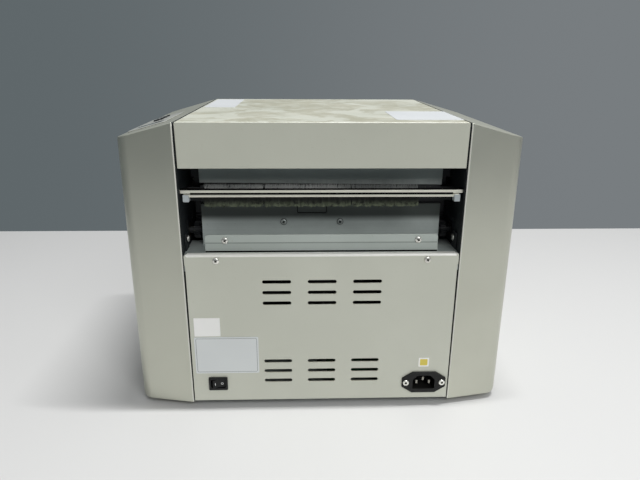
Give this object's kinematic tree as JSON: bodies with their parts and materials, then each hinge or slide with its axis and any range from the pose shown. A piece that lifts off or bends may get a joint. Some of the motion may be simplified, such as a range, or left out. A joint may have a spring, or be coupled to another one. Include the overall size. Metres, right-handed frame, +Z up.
{
  "type": "business card cutter",
  "caption": "Desk machine that slits and guillotines card sheets into cards, with hinged cover, feed tray, waste drawer and driven rollers",
  "frame": {"origin": "bottom centre of the machine, on the surface it stands on", "axes": "+X to the operator's right as they face the feed side, +Y to the rear where cards come out, +Z up"},
  "size_m": [0.403, 0.2939, 0.3133],
  "materials": {
    "cabinet_paint": "fine-textured warm grey paint",
    "cover_paint": "satin metallic grey-beige paint",
    "zinc_sheet": "zinc-plated sheet, dulled",
    "frame_steel": "dark blue-grey plate",
    "bracket_steel": "light blue-grey paint",
    "stainless": "brushed",
    "bright_steel": "ground",
    "blade_steel": "ground and hardened",
    "beam_dark": "dark coated",
    "black_steel": "blackened steel",
    "black_alloy": "black anodised",
    "screw_zinc": "zinc plated",
    "nylon": "moulded nylon",
    "brush_fibre": "conductive fibre",
    "black_plastic": "moulded",
    "grey_plastic": "moulded",
    "rubber_black": "moulded",
    "rubber_grey": "ground",
    "bronze": "sintered",
    "motor_black": "gloss",
    "board_green": "solder mask",
    "label_paper": "blank, satin",
    "screen": "dark window",
    "button_black": "gloss",
    "pin_brass": "nickel plated"
  },
  "bodies": {
    "chassis": {"base_pan": "zinc_sheet", "rubber_feet": "rubber_black", "side_frame_left": "frame_steel", "side_frame_right": "frame_steel", "stay_rods": "bright_steel", "rear_panel": "cabinet_paint", "panel_screws": "screw_zinc", "shelf_plate": "zinc_sheet", "lower_guide_plate": "zinc_sheet", "exit_sensor": "black_plastic", "rear_bracket": "bracket_steel", "exit_guide_plate": "stainless", "exit_guide_bar": "stainless", "guide_bar_clips": "nylon", "exit_brushes": "brush_fibre", "blade_guide_posts": "bright_steel", "fixed_blade": "black_steel", "blade_carrier": "black_steel", "shaft_bearings": "bronze", "feed_motor": "motor_black", "drive_belt": "rubber_black", "blade_motor": "motor_black", "feed_table": "stainless", "hinge_pins": "bright_steel", "rear_labels": "label_paper", "front_panel": "cabinet_paint", "drawer_rails": "grey_plastic", "switch_housing": "black_plastic", "mains_inlet": "black_plastic", "inlet_pins": "pin_brass", "power_supply": "zinc_sheet", "control_board": "board_green", "control_panel": "grey_plastic", "display_window": "screen", "side_cover_left": "cover_paint", "side_cover_right": "cover_paint"},
    "top_cover": {"top_cover": "cabinet_paint", "top_labels": "label_paper"},
    "rocker": {"power_rocker": "black_plastic"},
    "tray": {"feed_tray": "grey_plastic"},
    "guide_right": {"paper_guide_right": "grey_plastic"},
    "guide_left": {"paper_guide_left": "grey_plastic"},
    "drawer": {"waste_drawer": "cabinet_paint"},
    "start": {"start_button": "button_black"},
    "mode": {"mode_button": "button_black"},
    "stop": {"stop_button": "button_black"},
    "feed_roller": {"feed_shaft": "bright_steel", "feed_rollers": "rubber_grey"},
    "pinch": {"pinch_roller": "bright_steel"},
    "slitter_low": {"slitter_shaft_lower": "bright_steel", "slitter_discs_lower": "blade_steel"},
    "slitter_high": {"slitter_shaft_upper": "bright_steel", "slitter_discs_upper": "blade_steel"},
    "feed_drive": {"feed_motor_pulley": "bright_steel"},
    "blade": {"moving_blade": "blade_steel", "blade_clamp": "beam_dark", "blade_beam": "black_alloy"},
    "blade_cross_shaft": {"blade_shaft": "bright_steel"},
    "blade_drive": {"blade_motor_pinion": "bright_steel"}
  },
  "joints": [
    {"name": "top_cover_hinge", "type": "hinge", "parent": "chassis", "child": "top_cover", "pos_m": [0, 0.1334, 0.302], "axis": [-1, 0, 0], "range_deg": [0, 62]},
    {"name": "rocker_tilt", "type": "hinge", "parent": "chassis", "child": "rocker", "pos_m": [0.1132, 0.1424, 0.0304], "axis": [0, 0, 1], "range_deg": [-24, 0]},
    {"name": "tray_hinge", "type": "hinge", "parent": "chassis", "child": "tray", "pos_m": [0, -0.1436, 0.2395], "axis": [1, 0, 0], "range_deg": [0, 90]},
    {"name": "guide_right_slide", "type": "slide", "parent": "chassis", "child": "guide_right", "axis": [-1, 0, 0], "range_m": [0, 0.045]},
    {"name": "guide_left_slide", "type": "slide", "parent": "chassis", "child": "guide_left", "axis": [1, 0, 0], "range_m": [0, 0.045]},
    {"name": "drawer_slide", "type": "slide", "parent": "chassis", "child": "drawer", "axis": [0, -1, 0], "range_m": [0, 0.15]},
    {"name": "start_press", "type": "slide", "parent": "chassis", "child": "start", "axis": [-0.2688, 0, -0.9632], "range_m": [0, 0.0012], "stiffness_N_per_m": 300},
    {"name": "mode_press", "type": "slide", "parent": "chassis", "child": "mode", "axis": [-0.2688, 0, -0.9632], "range_m": [0, 0.0012], "stiffness_N_per_m": 300},
    {"name": "stop_press", "type": "slide", "parent": "chassis", "child": "stop", "axis": [-0.2688, 0, -0.9632], "range_m": [0, 0.0012], "stiffness_N_per_m": 300},
    {"name": "feed_roller_turn", "type": "hinge", "parent": "chassis", "child": "feed_roller", "pos_m": [0, -0.0466, 0.233], "axis": [-1, 0, 0], "continuous": true},
    {"name": "pinch_turn", "type": "hinge", "parent": "chassis", "child": "pinch", "pos_m": [0, -0.0466, 0.2513], "axis": [1, 0, 0], "continuous": true},
    {"name": "slitter_low_turn", "type": "hinge", "parent": "chassis", "child": "slitter_low", "pos_m": [0, 0.0434, 0.2295], "axis": [-1, 0, 0], "continuous": true},
    {"name": "slitter_high_turn", "type": "hinge", "parent": "chassis", "child": "slitter_high", "pos_m": [0, 0.0434, 0.2565], "axis": [1, 0, 0], "continuous": true},
    {"name": "feed_drive_turn", "type": "hinge", "parent": "chassis", "child": "feed_drive", "pos_m": [0, -0.0016, 0.17], "axis": [-1, 0, 0], "continuous": true},
    {"name": "blade_shaft_turn", "type": "hinge", "parent": "chassis", "child": "blade_cross_shaft", "pos_m": [0, 0.0974, 0.193], "axis": [1, 0, 0], "range_deg": [0, 57]},
    {"name": "blade_slide", "type": "slide", "parent": "chassis", "child": "blade", "axis": [0, 0, -1], "range_m": [0, 0.008]},
    {"name": "blade_drive_turn", "type": "hinge", "parent": "chassis", "child": "blade_drive", "pos_m": [0, 0.0974, 0.155], "axis": [1, 0, 0], "range_deg": [-215, 0]}
  ],
  "couplings": [
    {"joint": "guide_left_slide", "follows": "guide_right_slide", "ratio": 1},
    {"joint": "pinch_turn", "follows": "feed_roller_turn", "ratio": 1.25},
    {"joint": "slitter_low_turn", "follows": "feed_roller_turn", "ratio": 0.71429},
    {"joint": "slitter_high_turn", "follows": "feed_roller_turn", "ratio": 0.71429},
    {"joint": "feed_drive_turn", "follows": "feed_roller_turn", "ratio": 1.25},
    {"joint": "blade_slide", "follows": "blade_shaft_turn", "m_per_rad": 0.008},
    {"joint": "blade_drive_turn", "follows": "blade_shaft_turn", "ratio": -3.75}
  ]
}
